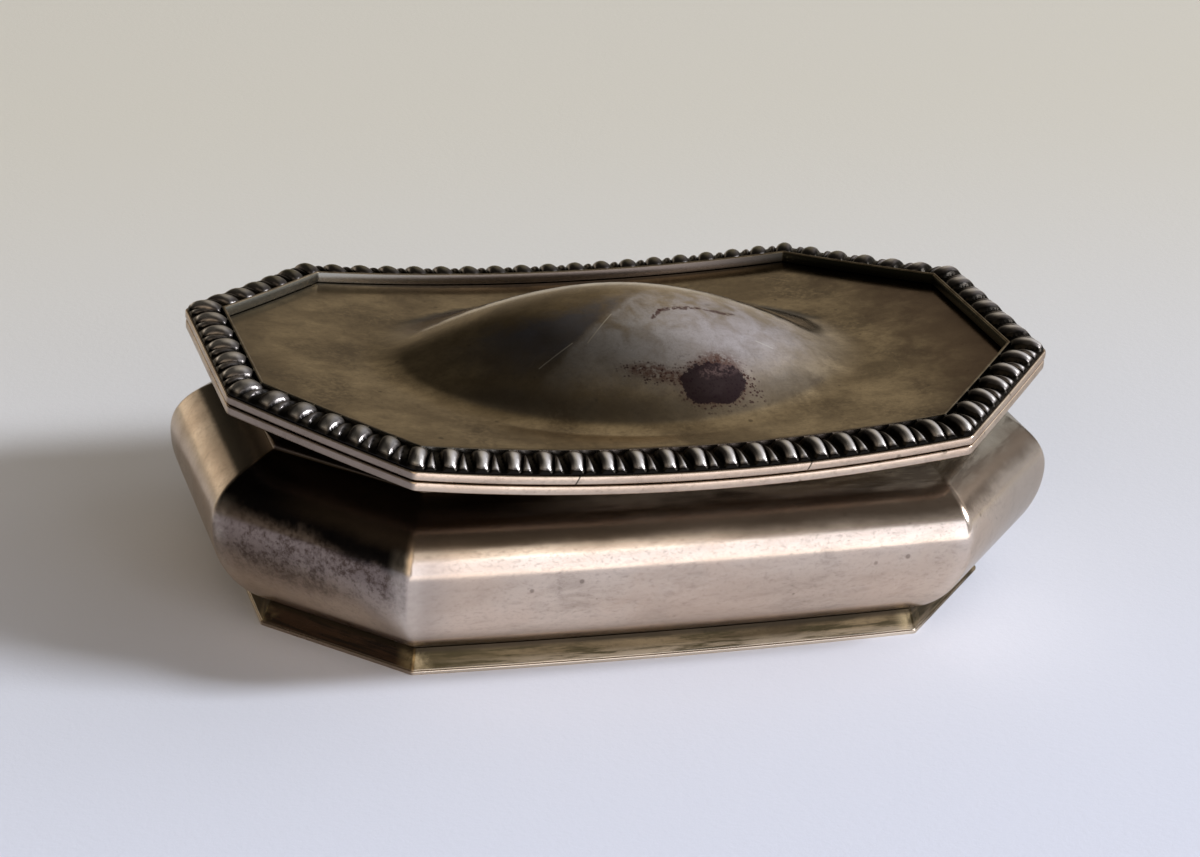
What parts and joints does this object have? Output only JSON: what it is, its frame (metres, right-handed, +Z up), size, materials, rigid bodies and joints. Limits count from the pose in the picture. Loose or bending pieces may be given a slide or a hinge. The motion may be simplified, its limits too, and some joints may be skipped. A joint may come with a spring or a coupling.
{
  "type": "table cigarette box",
  "caption": "Oblong eight-sided bombe metal table box for cigarettes: flared foot, boat-shaped mouth, hinged domed lid with a gadrooned border, cedar lining with a divider.",
  "frame": {"origin": "middle of the plane that the foot stands on", "axes": "+X along the long side, +Y towards the hinge at the back, +Z up"},
  "size_m": [0.1588, 0.1044, 0.0538],
  "materials": {
    "shell_silver": "silver plate over base metal, hand polished, mottled with tarnish",
    "lid_silver": "silver plate under an even olive-brown tarnish",
    "border_silver": "silver plate, bright on the lobes and nearly black in the hollows",
    "edge_silver": "bright worn silver plate",
    "foot_silver": "dark tarnished silver plate, worn through to warm base metal at the corners",
    "inner_silver": "unpolished silver plate",
    "hinge_metal": "drawn tube, dull",
    "cedar": "bare planed cedar"
  },
  "bodies": {
    "case": {"foot_ring": "foot_silver", "body_shell": "shell_silver", "base_plate": "inner_silver", "mouth_rim": "edge_silver", "hinge_knuckle_body_left": "hinge_metal", "hinge_knuckle_body_middle": "hinge_metal", "hinge_knuckle_body_right": "hinge_metal", "hinge_pin": "hinge_metal", "liner_floor": "cedar", "liner_front": "cedar", "liner_front_right": "cedar", "liner_right": "cedar", "liner_back_right": "cedar", "liner_back": "cedar", "liner_back_left": "cedar", "liner_left": "cedar", "liner_front_left": "cedar", "liner_divider": "cedar"},
    "lid": {"lid_edge_band": "edge_silver", "lid_plate": "lid_silver", "lid_bezel": "inner_silver", "gadroon_front": "border_silver", "gadroon_front_right": "border_silver", "gadroon_right": "border_silver", "gadroon_back_right": "border_silver", "gadroon_back": "border_silver", "gadroon_back_left": "border_silver", "gadroon_left": "border_silver", "gadroon_front_left": "border_silver", "hinge_knuckle_lid_left": "hinge_metal", "hinge_knuckle_lid_right": "hinge_metal"}
  },
  "joints": [
    {"name": "lid_hinge", "type": "hinge", "parent": "case", "child": "lid", "pos_m": [0, 0.05, 0.0377], "axis": [-1, 0, 0], "range_deg": [0, 105]}
  ]
}
